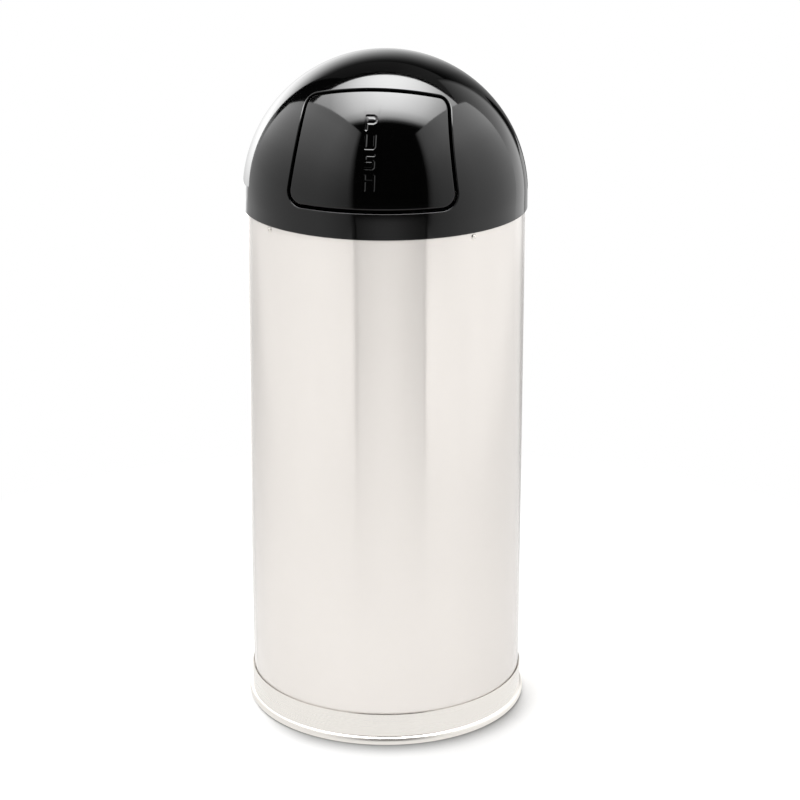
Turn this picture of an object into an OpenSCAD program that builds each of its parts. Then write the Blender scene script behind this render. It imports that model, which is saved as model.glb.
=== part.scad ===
// Round floor-standing waste receptacle with a lift-off dome and a self-closing push door.
// Millimetres. +Z is up, the door faces -Y, and the origin is the centre of the footprint.

/* [Overall] */
// Height from the floor to the top of the dome
overall_h = 914.4; // [800:0.1:1000]

/* [Dome] */
// Outer radius of the dome, a hemisphere over a short straight skirt
dome_r = 190.5; // [190:0.1:191]
// Thickness of the dome's steel
dome_t = 1.2; // [1:0.1:1.4]
// Height of the straight skirt below the hemisphere
skirt_h = 17; // [15:0.5:22]
// Height of the hem folded inside the skirt's lower edge
hem_h = 6; // [4:0.5:7]
// How far the lip round the door opening turns inwards
lip_depth = 2.3; // [1.5:0.1:2.6]

/* [Door] */
// Width of the gap round the door
door_gap = 4.4; // [3:0.1:5]
// Height of the gap's lower run above the hemisphere's equator
door_low = 19.7; // [17:0.1:23]
// Height of the gap's crown above the hemisphere's equator
door_high = 159.5; // [156:0.1:160]
// Half width of the door half way up
door_half_w = 100.3; // [96:0.1:101]
// Lean of the door's sides from upright, in degrees
side_lean = 8.6; // [7:0.1:10]
// Radius of the crowned top run
crown_r = 316; // [300:1:340]
// Radius of the upper corners
top_corner_r = 20; // [16:0.5:22]
// Radius of the lower corners
low_corner_r = 17; // [14:0.5:19]
// Depth of the stiffening flange turned in round the door's sides and foot
flange_depth = 6.3; // [4:0.1:6.5]

/* [Hinge] */
// Distance of the hinge rod from the dome's centre
rod_reach = 162; // [160:0.5:163]
// Elevation of the hinge rod as seen from the dome's centre, in degrees
rod_elevation = 59.5; // [59:0.1:61]
// Radius of the hinge rod
rod_r = 3; // [2.5:0.1:3.2]
// Turns of each torsion spring
spring_turns = 7; // [5:1:7]
// Radius of the spring wire
spring_wire_r = 0.8; // [0.6:0.05:0.8]

/* [Body] */
// Outer radius of the body
body_r = 187.5; // [187:0.1:187.6]
// Thickness of the body's stainless sheet
body_t = 0.9; // [0.8:0.1:1.1]
// How far the body's rim reaches up inside the dome
rim_overlap = 9.1; // [8.5:0.1:10]
// Height of the stiffening band inside the rim
rim_band_h = 26; // [20:1:40]
// Distance of the rivets below the dome's edge
rivet_drop = 5.4; // [5:0.1:8]
// Radius of a rivet's head
rivet_head_r = 3.5; // [3:0.1:3.8]

/* [Base] */
// Height of the band round the foot of the body
foot_band_h = 45; // [36:1:60]
// Thickness of the foot band
foot_band_t = 1.9; // [1.2:0.1:2.4]
// Radius of the rolled bead that the receptacle stands on
bead_r = 6; // [5:0.1:7]
// Height of the floor pan above the floor
pan_z = 22; // [16:1:30]

/* [Liner] */
// Outer radius of the liner can
liner_r = 167; // [160:0.5:167]
// Thickness of the liner's galvanised sheet
liner_t = 0.6; // [0.6:0.1:1]
// Distance of the liner's rim below the body's rim
liner_drop = 40; // [36:1:80]
// Radius of the wired edge at the liner's rim
wired_edge_r = 2.7; // [2:0.1:3]

/* [Bail] */
// Radius of the bail's wire
bail_wire_r = 2.5; // [2:0.1:2.5]
// Radius of the bail's bow
bail_bow_r = 177.3; // [177:0.1:178]
// Distance of the bail's pivot below the liner's rim
bail_pivot_drop = 16; // [15:1:22]

/* [Hidden] */
$fn = 128;

// Gaps between pieces
touch = 0.1;     // welded or nested pieces
apart = 0.3;     // pieces that move past each other
rivet_play = 0.02;
rod_play = 0.05;
cut = 20;        // how far a cutting shape runs past what it cuts

// Heights
dome_z = overall_h - dome_r;
dome_edge_z = dome_z - skirt_h;
rim_z = dome_edge_z + rim_overlap;
rivet_z = dome_edge_z - rivet_drop;

// Dome and collar
dome_in_r = dome_r - dome_t;
collar_t = 1.2;
collar_lip_depth = 11;
collar_leg_h = 10;
rim_band_t = 1.5;
body_in_r = body_r - body_t;
rim_band_in_r = body_in_r - touch - rim_band_t;
collar_lip_r = rim_band_in_r - apart;

// Door outline, in the XZ plane with its height measured from the equator
door_r = dome_r - 0.2;
door_t = 1.2;
door_in_r = door_r - door_t;
half_gap = door_gap / 2;
door_mid = (door_low + door_high) / 2;
side_distance = door_half_w * cos(side_lean) + door_mid * sin(side_lean);
crown_centre = door_high - crown_r;
corner_steps = 8;
crown_steps = 14;

// Right-hand corner centre that is level with a height and a radius inside the side run
function beside_run(height, radius) =
    (side_distance - radius - height * sin(side_lean)) / cos(side_lean);
low_corner = [beside_run(door_low + low_corner_r, low_corner_r), door_low + low_corner_r];

// The upper corner touches both the side run and the crown
side_offset = side_distance - top_corner_r;
crown_reach = crown_r - top_corner_r;
crown_level = side_offset - crown_centre * sin(side_lean);
top_swing = acos(crown_level / crown_reach);
crown_angle = side_lean + top_swing;
top_corner = [crown_reach * cos(crown_angle), crown_centre + crown_reach * sin(crown_angle)];

function arc_points(centre, radius, from, to, steps) =
    [for (i = [0:steps])
        let (a = from + (to - from) * i / steps)
        [centre[0] + radius * cos(a), centre[1] + radius * sin(a)]];
function inner_points(points) = [for (i = [1:len(points) - 2]) points[i]];
function mirrored(points) = [for (i = [len(points) - 1:-1:0]) [-points[i][0], points[i][1]]];
function right_half(grow) = concat(
    arc_points(low_corner, low_corner_r + grow, -90, side_lean, corner_steps),
    arc_points(top_corner, top_corner_r + grow, side_lean, crown_angle, corner_steps));
function crown_run(grow) = inner_points(
    arc_points([0, crown_centre], crown_r + grow, crown_angle, 180 - crown_angle, crown_steps));
function door_outline(grow) =
    concat(right_half(grow), crown_run(grow), mirrored(right_half(grow)));

// Door fittings
flange_t = 1.2;
flange_top = 128;
lip_t = 1.2;
ear_x = 40;
ear_t = 2;
ear_foot_w = 18;
ear_low = 112;
ear_high = 144;
knuckle_r = 7;
plate_t = 1.6;
stop_low = 40;
stop_high = 62;
stop_in_x = 92;
stop_out_x = 124;
stop_t = 1.5;
stop_leg_depth = 4;
bumper_r = 5;
bumper_azimuth = 39.9;
bumper_elevation = 15.7;

// Hinge
rod_y = -rod_reach * cos(rod_elevation);
rod_rise = rod_reach * sin(rod_elevation);
rod_z = dome_z + rod_rise;
rod_half_l = 70;
bracket_x = 64;
bracket_t = 2;
bracket_foot_w = 20;
bracket_front_y = -62;
bracket_back_y = -40;
clip_r = 6;
clip_t = 1.5;

// Torsion springs: a coil round the rod with one leg on the dome and one on the door
spring_r = 4.6;
spring_out_x = 60;
spring_in_x = 46;
spring_sides = 6;
rings_per_turn = 14;
spring_start = 150;
spring_end = 110 + 360 * (spring_turns - 1);

// Base
shell_foot_z = 12;
bead_t = 1.2;
bead_flat = 0.5;
bead_z = bead_r - bead_flat;
bead_ring_r = body_r + 0.5;
foot_band_in_r = body_r + touch;
pan_t = 1.2;
pan_skirt_h = 9;
seam_width = 12;
seam_t = 0.8;
seam_angle = seam_width / body_r * 180 / PI;
body_turn = -1.8; // the body stands turned by this much under the dome

// Rivets
rivet_shank_r = 2;
rivet_head_h = 1.7;
rivet_tail_r = 3.2;
rivet_tail_h = 1.4;
rivet_azimuths = [for (quarter = [0:3]) 45 + 90 * quarter + body_turn];

// Liner and bail
liner_in_r = liner_r - liner_t;
liner_top_z = rim_z - liner_drop;
liner_low_z = pan_z + pan_t + apart;
liner_pan_rise = 8;
lug_t = 4.5;
lug_half_w = 14;
lug_half_h = 11;
lug_rivet_y = 9;
lug_rivet_r = 1.8;
lug_head_r = 3;
lug_head_h = 1.2;
bail_z = liner_top_z - bail_pivot_drop;
bail_bend_r = 5;
bail_pin_x = liner_r + 2 * apart;
bail_tilt = acos((liner_r + apart + bail_wire_r) / (bail_bow_r + bail_bend_r));

// Ring of rectangular section round the Z axis
module ring(in_r, out_r, low_z, high_z) {
    rotate_extrude()
        translate([in_r, low_z])
            square([out_r - in_r, high_z - low_z]);
}

// Hemispherical shell standing on the dome's equator
module half_shell(in_r, out_r) {
    translate([0, 0, dome_z])
        rotate_extrude()
            intersection() {
                difference() {
                    circle(r = out_r);
                    circle(r = in_r);
                }
                square(out_r);
            }
}

// Solid inside a sphere about the dome's centre
module ball(radius) {
    translate([0, 0, dome_z])
        sphere(r = radius);
}

// Prism through the front of the dome with the door's outline grown on every side
module door_prism(grow) {
    translate([0, 0, dome_z])
        rotate([90, 0, 0])
            linear_extrude(dome_r + cut)
                polygon(door_outline(grow));
}

// Box between two corners
module block(low, high) {
    translate(low)
        cube(high - low);
}

// Places its children with +Z along a radius of the dome
module on_radius(azimuth, elevation) {
    translate([0, 0, dome_z])
        rotate([0, 0, azimuth])
            rotate([90 - elevation, 0, 0])
                children();
}

// Blind rivet along +X: the head's underside is at x = 0
module rivet(shank_r, head_r, head_h, grip, tail_r, tail_h) {
    cap_r = (head_r * head_r + head_h * head_h) / (2 * head_h);
    rotate([0, 90, 0]) {
        intersection() {
            translate([0, 0, head_h - cap_r])
                sphere(r = cap_r);
            cylinder(r = head_r + 1, h = head_h + 1);
        }
        translate([0, 0, -grip - tail_h / 2])
            cylinder(r = shank_r, h = grip + tail_h);
        translate([0, 0, -grip - tail_h])
            cylinder(r = tail_r, h = tail_h);
    }
}

module at_rim_rivets() {
    for (azimuth = rivet_azimuths)
        rotate([0, 0, azimuth - 90])
            translate([body_r, 0, rivet_z])
                children();
}

module rim_rivet_holes() {
    at_rim_rivets()
        rotate([0, 90, 0])
            cylinder(r = rivet_shank_r + rivet_play, h = cut, center = true);
}

// ---- Receptacle body ----

module body_shell() {
    color("gainsboro")
        difference() {
            union() {
                ring(body_in_r, body_r, shell_foot_z, rim_z);
                rotate([0, 0, 90 + body_turn - seam_angle / 2])
                    rotate_extrude(angle = seam_angle)
                        translate([body_r - body_t / 2, foot_band_h + 1])
                            square([body_t / 2 + seam_t, dome_edge_z - foot_band_h - 3]);
            }
            rim_rivet_holes();
        }
}

module rim_band() {
    color("silver")
        difference() {
            ring(rim_band_in_r, body_in_r - touch, rim_z - rim_band_h, rim_z);
            rim_rivet_holes();
        }
}

module rim_rivets() {
    color("lightgray")
        at_rim_rivets()
            translate([touch / 2, 0, 0])
                rivet(rivet_shank_r, rivet_head_r, rivet_head_h,
                    body_t + rim_band_t + 3 * touch, rivet_tail_r, rivet_tail_h);
}

module foot_ring() {
    color("whitesmoke")
        rotate_extrude()
            union() {
                translate([foot_band_in_r, bead_z + bead_r - bead_t])
                    square([foot_band_t, foot_band_h - bead_z - bead_r + bead_t]);
                difference() {
                    translate([bead_ring_r, bead_z])
                        circle(r = bead_r);
                    translate([bead_ring_r, bead_z])
                        circle(r = bead_r - bead_t);
                    translate([bead_ring_r - bead_r - 1, -bead_r])
                        square([2 * bead_r + 2, bead_r]);
                    translate([bead_ring_r - bead_r - 1, bead_z])
                        square([bead_r, bead_t]);
                }
            }
}

module floor_pan() {
    color("darkgray")
        union() {
            ring(0, body_in_r - touch, pan_z, pan_z + pan_t);
            ring(body_in_r - touch - pan_t, body_in_r - touch, pan_z - pan_skirt_h, pan_z);
        }
}

// ---- Dome ----

module dome_shell() {
    color("black")
        difference() {
            union() {
                half_shell(dome_in_r, dome_r);
                ring(dome_in_r, dome_r, dome_edge_z, dome_z);
                ring(dome_in_r - dome_t, dome_in_r, dome_edge_z, dome_edge_z + hem_h);
                intersection() {
                    half_shell(dome_in_r - lip_depth, dome_in_r + dome_t / 2);
                    door_prism(half_gap + lip_t);
                }
            }
            door_prism(half_gap);
        }
}

module dome_collar() {
    color("dimgray")
        rotate_extrude()
            translate([0, rim_z + apart])
                union() {
                    translate([collar_lip_r - collar_t, collar_t - collar_lip_depth])
                        square([collar_t, collar_lip_depth]);
                    translate([collar_lip_r - collar_t, 0])
                        square([dome_in_r - touch - collar_lip_r + collar_t, collar_t]);
                    translate([dome_in_r - touch - collar_t, 0])
                        square([collar_t, collar_leg_h]);
                }
}

// Plate in the YZ plane whose profile is drawn as (y, height above the dome's centre)
module side_plate(x, thickness) {
    translate([x, 0, dome_z])
        rotate([90, 0, 90])
            linear_extrude(thickness)
                children();
}

module rod_bore(play) {
    translate([0, rod_y, rod_z])
        rotate([0, 90, 0])
            cylinder(r = rod_r + play, h = 2 * rod_half_l + cut, center = true);
}

module hinge_bracket() {
    difference() {
        union() {
            intersection() {
                side_plate(bracket_x, bracket_t)
                    union() {
                        translate([rod_y, rod_rise])
                            circle(r = knuckle_r);
                        polygon([
                            [rod_y, rod_rise + knuckle_r],
                            [rod_y + knuckle_r * cos(45), rod_rise - knuckle_r * sin(45)],
                            [bracket_back_y, dome_r],
                            [bracket_front_y, dome_r]]);
                    }
                ball(dome_in_r - touch);
            }
            intersection() {
                half_shell(dome_in_r - touch - plate_t, dome_in_r - touch);
                block([bracket_x, bracket_front_y, dome_z],
                    [bracket_x + bracket_foot_w, bracket_back_y, overall_h]);
            }
        }
        rod_bore(rivet_play);
    }
}

module hinge_bracket_left() {
    color("slategray")
        mirror([1, 0, 0])
            hinge_bracket();
}

module hinge_bracket_right() {
    color("slategray")
        hinge_bracket();
}

module hinge_rod() {
    color("silver")
        translate([0, rod_y, rod_z])
            rotate([0, 90, 0])
                cylinder(r = rod_r, h = 2 * rod_half_l, center = true);
}

module rod_clips() {
    color("gold")
        for (side = [0, 1])
            mirror([side, 0, 0])
                translate([bracket_x + bracket_t + touch, rod_y, rod_z])
                    rotate([0, 90, 0])
                        difference() {
                            cylinder(r = clip_r, h = clip_t);
                            translate([0, 0, -clip_t])
                                cylinder(r = rod_r + rivet_play, h = 3 * clip_t);
                        }
}

// Centre line of the right-hand spring as points, from the dome leg's tip to the door leg's tip
coil_rings = ceil((spring_end - spring_start) / 360 * rings_per_turn);
function coil_point(i) =
    let (share = i / coil_rings, a = spring_start + (spring_end - spring_start) * share)
    [spring_out_x + (spring_in_x - spring_out_x) * share,
        rod_y + spring_r * cos(a), rod_z + spring_r * sin(a)];
function turn_tangent(a) = [0, -sin(a), cos(a)];
coil_path = [for (i = [0:coil_rings]) coil_point(i)];

// Point on a ray from a start inside the dome that lies at a radius from the dome's centre
function leg_tip(start, direction, radius) =
    let (p = start - [0, 0, dome_z], along = p * direction)
    start + (sqrt(along * along - p * p + radius * radius) - along) * direction;
dome_leg_tip = leg_tip(coil_path[0], -turn_tangent(spring_start),
    dome_in_r - touch - spring_wire_r);
door_leg_tip = leg_tip(coil_path[coil_rings], turn_tangent(spring_end),
    door_in_r - touch - spring_wire_r);
spring_path = concat([dome_leg_tip], coil_path, [door_leg_tip]);

function unit(v) = v / norm(v);
function path_tangent(path, i) =
    unit(path[min(i + 1, len(path) - 1)] - path[max(i - 1, 0)]);

// Each ring's first axis lies as near to the rod's direction as the wire allows
function ring_axis(tangent) = unit([1, 0, 0] - tangent[0] * tangent);
function tube_ring(path, i, radius, sides) =
    let (t = path_tangent(path, i), u = ring_axis(t), v = cross(t, u))
    [for (k = [0:sides - 1])
        path[i] + radius * (cos(360 * k / sides) * u + sin(360 * k / sides) * v)];

module swept_tube(path, radius, sides) {
    last = len(path) - 1;
    points = [for (i = [0:last]) each tube_ring(path, i, radius, sides)];
    walls = [for (i = [0:last - 1], k = [0:sides - 1])
        let (next = (k + 1) % sides)
        each [[i * sides + k, (i + 1) * sides + k, (i + 1) * sides + next],
            [i * sides + k, (i + 1) * sides + next, i * sides + next]]];
    start_cap = [for (k = [0:sides - 1]) k];
    end_cap = [for (k = [sides - 1:-1:0]) last * sides + k];
    polyhedron(points = points, faces = concat(walls, [start_cap, end_cap]));
}

module torsion_spring_left() {
    color("lightsteelblue")
        mirror([1, 0, 0])
            swept_tube(spring_path, spring_wire_r, spring_sides);
}

module torsion_spring_right() {
    color("lightsteelblue")
        swept_tube(spring_path, spring_wire_r, spring_sides);
}

// ---- Door ----

module door_panel() {
    color("#202020")
        union() {
            intersection() {
                half_shell(door_in_r, door_r);
                door_prism(-half_gap);
            }
            difference() {
                intersection() {
                    half_shell(door_r - flange_depth, door_in_r + door_t / 2);
                    door_prism(-half_gap);
                }
                door_prism(-half_gap - flange_t);
                translate([-dome_r, -dome_r, dome_z + flange_top])
                    cube(2 * dome_r);
            }
        }
}

module door_ear() {
    difference() {
        union() {
            intersection() {
                side_plate(ear_x, ear_t)
                    union() {
                        translate([rod_y, rod_rise])
                            circle(r = knuckle_r);
                        polygon([
                            [rod_y, rod_rise + knuckle_r],
                            [-dome_r, ear_high],
                            [-dome_r, ear_low],
                            [rod_y, rod_rise - knuckle_r]]);
                    }
                ball(door_in_r - touch);
            }
            intersection() {
                half_shell(door_in_r - touch - plate_t, door_in_r - touch);
                block([ear_x + ear_t - ear_foot_w, -dome_r, dome_z + ear_low],
                    [ear_x + ear_t, rod_y, dome_z + ear_high - 4]);
            }
        }
        rod_bore(rod_play);
    }
}

module door_ear_left() {
    color("slategray")
        mirror([1, 0, 0])
            door_ear();
}

module door_ear_right() {
    color("slategray")
        door_ear();
}

// Tab welded to the door's flange that reaches behind the dome beside the opening
module door_stop() {
    flange_in_r = door_r - flange_depth;
    intersection() {
        union() {
            half_shell(flange_in_r - touch - stop_t, flange_in_r - touch);
            difference() {
                intersection() {
                    half_shell(flange_in_r - stop_t, flange_in_r + stop_leg_depth);
                    door_prism(-half_gap - flange_t - touch);
                }
                door_prism(-half_gap - flange_t - touch - stop_t);
            }
        }
        block([stop_in_x, -dome_r, dome_z + stop_low], [stop_out_x, 0, dome_z + stop_high]);
    }
}

module door_stop_left() {
    color("slategray")
        mirror([1, 0, 0])
            door_stop();
}

module door_stop_right() {
    color("slategray")
        door_stop();
}

module door_bumper() {
    foot = door_r - flange_depth + touch;
    on_radius(bumper_azimuth, bumper_elevation)
        translate([0, 0, foot])
            cylinder(r = bumper_r, h = dome_in_r - apart - foot);
}

module door_bumper_left() {
    color("#303030")
        mirror([1, 0, 0])
            door_bumper();
}

module door_bumper_right() {
    color("#303030")
        door_bumper();
}

// ---- Liner and bail ----

module at_lug_rivets() {
    for (side = [0, 180], y = [-lug_rivet_y, lug_rivet_y])
        rotate([0, 0, side])
            translate([liner_r + lug_t, y, bail_z])
                children();
}

module lug_rivet_holes() {
    at_lug_rivets()
        rotate([0, 90, 0])
            cylinder(r = lug_rivet_r + rivet_play, h = cut, center = true);
}

module liner_can() {
    color("lightgray")
        difference() {
            rotate_extrude()
                union() {
                    translate([liner_in_r, liner_low_z])
                        square([liner_t, liner_top_z - wired_edge_r - liner_low_z]);
                    translate([liner_in_r + wired_edge_r, liner_top_z - wired_edge_r])
                        circle(r = wired_edge_r);
                }
            lug_rivet_holes();
        }
}

module liner_bottom() {
    color("darkgray")
        union() {
            ring(0, liner_in_r - touch, liner_low_z + liner_pan_rise,
                liner_low_z + liner_pan_rise + liner_t);
            ring(liner_in_r - touch - liner_t, liner_in_r - touch, liner_low_z,
                liner_low_z + liner_pan_rise);
        }
}

module bail_lug() {
    difference() {
        translate([0, -lug_half_w, bail_z - lug_half_h])
            cube([liner_r + lug_t, 2 * lug_half_w, 2 * lug_half_h]);
        translate([0, 0, bail_z - cut])
            cylinder(r = liner_r + touch, h = 2 * cut);
        translate([liner_r, 0, bail_z])
            rotate([0, 90, 0])
                cylinder(r = bail_wire_r + rod_play, h = 2 * cut, center = true);
        lug_rivet_holes();
    }
}

module bail_lug_left() {
    color("gray")
        mirror([1, 0, 0])
            bail_lug();
}

module bail_lug_right() {
    color("gray")
        bail_lug();
}

module lug_rivets() {
    sagitta = liner_r - sqrt(liner_r * liner_r - lug_rivet_y * lug_rivet_y);
    color("lightgray")
        at_lug_rivets()
            translate([touch / 2, 0, 0])
                rivet(lug_rivet_r, lug_head_r, lug_head_h,
                    lug_t + liner_t + sagitta + 4 * touch, lug_head_r, lug_head_h);
}

// Bent wire: a bow, an elbow at each end and a pin through each lug
module bail_handle() {
    elbow_x = bail_bow_r - bail_bend_r;
    color("silver")
        translate([0, 0, bail_z])
            rotate([-bail_tilt, 0, 0])
                union() {
                    translate([0, bail_bend_r, 0])
                        rotate_extrude(angle = 180)
                            translate([bail_bow_r, 0])
                                circle(r = bail_wire_r);
                    for (side = [0, 1])
                        mirror([side, 0, 0])
                            translate([elbow_x, bail_bend_r, 0]) {
                                rotate([0, 0, -90])
                                    rotate_extrude(angle = 90)
                                        translate([bail_bend_r, 0])
                                            circle(r = bail_wire_r);
                                translate([0, -bail_bend_r, 0])
                                    rotate([0, -90, 0])
                                        cylinder(r = bail_wire_r, h = elbow_x - bail_pin_x);
                            }
                }
}

body_shell();
rim_band();
rim_rivets();
foot_ring();
floor_pan();
dome_shell();
dome_collar();
hinge_bracket_left();
hinge_bracket_right();
hinge_rod();
rod_clips();
torsion_spring_left();
torsion_spring_right();
door_panel();
door_ear_left();
door_ear_right();
door_stop_left();
door_stop_right();
door_bumper_left();
door_bumper_right();
liner_can();
liner_bottom();
bail_lug_left();
bail_lug_right();
lug_rivets();
bail_handle();
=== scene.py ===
"""Round dome top receptacle, dressed over its CAD frame. Metres, +Z is up, the door faces -Y."""

import math

import bmesh
import bpy
from bpy.props import FloatProperty, FloatVectorProperty, IntProperty, PointerProperty
from mathutils import Matrix, Vector


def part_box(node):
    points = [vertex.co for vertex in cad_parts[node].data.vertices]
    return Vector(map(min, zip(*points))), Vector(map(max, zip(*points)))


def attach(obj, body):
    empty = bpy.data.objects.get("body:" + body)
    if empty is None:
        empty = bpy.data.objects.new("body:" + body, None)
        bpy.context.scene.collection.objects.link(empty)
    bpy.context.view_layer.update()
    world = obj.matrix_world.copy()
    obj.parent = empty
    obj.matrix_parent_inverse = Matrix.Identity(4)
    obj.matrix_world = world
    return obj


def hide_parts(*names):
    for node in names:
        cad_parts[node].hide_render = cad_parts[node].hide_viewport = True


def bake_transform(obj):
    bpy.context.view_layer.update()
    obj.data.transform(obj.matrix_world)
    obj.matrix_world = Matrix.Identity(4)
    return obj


bl_info = {
    "name": "Dome top receptacle",
    "version": (1, 0, 0),
    "blender": (4, 5, 0),
    "location": "3D View > Sidebar > Receptacle",
    "description": "Models the visible pieces, finishes and studio of a dome top receptacle",
    "category": "Add Mesh",
}

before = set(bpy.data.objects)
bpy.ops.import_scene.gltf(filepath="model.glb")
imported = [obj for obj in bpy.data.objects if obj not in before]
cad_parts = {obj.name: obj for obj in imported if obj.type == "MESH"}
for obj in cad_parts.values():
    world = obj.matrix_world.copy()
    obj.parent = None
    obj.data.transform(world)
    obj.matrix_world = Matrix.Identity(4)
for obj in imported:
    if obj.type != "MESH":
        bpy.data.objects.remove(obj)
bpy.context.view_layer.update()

DOME_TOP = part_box("dome_shell")[1][2]
DOME_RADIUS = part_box("dome_shell")[1][0]
DOME_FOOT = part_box("dome_shell")[0][2]
BODY_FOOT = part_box("body_shell")[0][2]
BODY_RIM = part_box("body_shell")[1][2]
ROD = Vector([(low + high) / 2 for low, high in zip(*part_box("hinge_rod"))])
LINER_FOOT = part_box("liner_can")[0][2]
LINER_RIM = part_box("liner_can")[1][2]
EQUATOR = DOME_TOP - DOME_RADIUS
# The photograph shows the body's rivets turned by this much under the dome
BODY_TURN = math.radians(-1.8)
RIVET_COUNT = 4
# Points nearer to each other than this are one
WELD = 0.00002


def linear(hex_colour):
    """An sRGB hex colour as linear red, green and blue."""
    parts = [int(hex_colour[i:i + 2], 16) / 255 for i in (1, 3, 5)]
    return tuple(c / 12.92 if c <= 0.04045 else ((c + 0.055) / 1.055) ** 2.4 for c in parts)


# ---- Sizes and colours that a user would change ----


class DomeSizes(bpy.types.PropertyGroup):
    """Sizes of the dome and of the lip round its opening."""

    radius: FloatProperty(
        name="Radius", description="Outer radius of the dome",
        default=DOME_RADIUS, min=0.1, max=0.4, unit="LENGTH")
    sheet: FloatProperty(
        name="Sheet", description="Thickness of the dome's steel sheet",
        default=0.00115, min=0.0005, max=0.003, unit="LENGTH")
    hem: FloatProperty(
        name="Hem", description="Height of the hem folded up inside the foot",
        default=0.006, min=0.002, max=0.02, unit="LENGTH")
    lip_roll: FloatProperty(
        name="Lip roll", description="Radius of the bend into the opening's lip",
        default=0.0014, min=0.0005, max=0.004, unit="LENGTH")
    lip_depth: FloatProperty(
        name="Lip depth", description="How far the opening's lip reaches inwards",
        default=0.0035, min=0.002, max=0.01, unit="LENGTH")


class DoorSizes(bpy.types.PropertyGroup):
    """Outline of the gap round the door, in the upright plane, and the door's own edge."""

    gap: FloatProperty(
        name="Gap", description="Width of the gap round the door",
        default=0.0044, min=0.002, max=0.008, unit="LENGTH")
    low: FloatProperty(
        name="Foot", description="Height of the lower run above the dome's equator",
        default=0.0197, min=0.01, max=0.05, unit="LENGTH")
    high: FloatProperty(
        name="Crown", description="Height of the crown above the dome's equator",
        default=0.1595, min=0.1, max=0.18, unit="LENGTH")
    half_width: FloatProperty(
        name="Half width", description="Half the door's width at its middle",
        default=0.1003, min=0.05, max=0.15, unit="LENGTH")
    lean: FloatProperty(
        name="Lean", description="Lean of the sides from upright",
        default=math.radians(8.6), min=0.0, max=0.4, subtype="ANGLE")
    crown_radius: FloatProperty(
        name="Crown radius", description="Radius of the crowned top run",
        default=0.316, min=0.2, max=1.0, unit="LENGTH")
    top_corner: FloatProperty(
        name="Top corner", description="Radius of the upper corners",
        default=0.020, min=0.005, max=0.04, unit="LENGTH")
    low_corner: FloatProperty(
        name="Low corner", description="Radius of the lower corners",
        default=0.017, min=0.005, max=0.04, unit="LENGTH")
    set_back: FloatProperty(
        name="Set back", description="How far the door's face lies inside the dome's",
        default=0.0002, min=0.0, max=0.002, unit="LENGTH")
    edge_roll: FloatProperty(
        name="Edge roll", description="Radius of the bend into the door's flange",
        default=0.0020, min=0.0005, max=0.004, unit="LENGTH")
    flange: FloatProperty(
        name="Flange", description="Depth of the flange turned in round the door",
        default=0.0063, min=0.003, max=0.01, unit="LENGTH")
    stroke: FloatProperty(
        name="Stroke", description="Half the width of the word's pressed strokes",
        default=0.0022, min=0.001, max=0.003, unit="LENGTH")
    stroke_wall: FloatProperty(
        name="Stroke wall", description="Width of the slope at each side of a stroke",
        default=0.0015, min=0.0005, max=0.002, unit="LENGTH")
    relief: FloatProperty(
        name="Relief", description="How deep the word is pressed into the door",
        default=0.0005, min=0.0002, max=0.001, unit="LENGTH")


class BodySizes(bpy.types.PropertyGroup):
    """Sizes of the body, its foot band and its rivets."""

    radius: FloatProperty(
        name="Radius", description="Outer radius of the body",
        default=0.1875, min=0.1, max=0.4, unit="LENGTH")
    sheet: FloatProperty(
        name="Sheet", description="Thickness of the body's stainless sheet",
        default=0.0009, min=0.0005, max=0.002, unit="LENGTH")
    seam: FloatProperty(
        name="Seam step", description="Height of the lock seam at the back",
        default=0.0008, min=0.0002, max=0.002, unit="LENGTH")
    band_height: FloatProperty(
        name="Foot band height", description="Height of the band round the foot",
        default=0.045, min=0.02, max=0.1, unit="LENGTH")
    band: FloatProperty(
        name="Foot band", description="Thickness of the band round the foot",
        default=0.0019, min=0.001, max=0.004, unit="LENGTH")
    bead: FloatProperty(
        name="Bead radius", description="Radius of the rolled bead at the floor",
        default=0.006, min=0.003, max=0.01, unit="LENGTH")
    rivet_height: FloatProperty(
        name="Rivet height", description="Height of the rim rivets above the floor",
        default=0.7015, min=0.1, max=1.0, unit="LENGTH")
    around: IntProperty(
        name="Steps around", description="Steps round each turned piece",
        default=192, min=48, max=384)


class LinerSizes(bpy.types.PropertyGroup):
    """Sizes of the lift-out liner."""

    radius: FloatProperty(
        name="Radius", description="Outer radius of the liner",
        default=0.167, min=0.1, max=0.4, unit="LENGTH")
    sheet: FloatProperty(
        name="Sheet", description="Thickness of the liner's galvanised sheet",
        default=0.0006, min=0.0004, max=0.002, unit="LENGTH")
    wired_edge: FloatProperty(
        name="Wired edge", description="Radius of the wired edge at the rim",
        default=0.0027, min=0.001, max=0.005, unit="LENGTH")


class Finishes(bpy.types.PropertyGroup):
    """Colours of the finishes, in linear light."""

    enamel: FloatVectorProperty(
        name="Enamel", description="Black baked enamel of the dome and door",
        default=linear("#020202"), min=0.0, max=1.0, subtype="COLOR")
    stainless: FloatVectorProperty(
        name="Stainless", description="Brushed stainless sheet of the body",
        default=linear("#e0dbd6"), min=0.0, max=1.0, subtype="COLOR")
    polished: FloatVectorProperty(
        name="Polished", description="Polished stainless of the foot band",
        default=linear("#ece8e2"), min=0.0, max=1.0, subtype="COLOR")
    galvanised: FloatVectorProperty(
        name="Galvanised", description="Galvanised sheet of the liner and pan",
        default=linear("#b4b8ba"), min=0.0, max=1.0, subtype="COLOR")
    zinc: FloatVectorProperty(
        name="Zinc", description="Bright zinc plate of the fittings",
        default=linear("#c9cbcd"), min=0.0, max=1.0, subtype="COLOR")
    spring: FloatVectorProperty(
        name="Spring", description="Drawn spring wire",
        default=linear("#a3a5a8"), min=0.0, max=1.0, subtype="COLOR")
    rubber: FloatVectorProperty(
        name="Rubber", description="Black rubber of the door's bumpers",
        default=linear("#1d1d1e"), min=0.0, max=1.0, subtype="COLOR")


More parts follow.
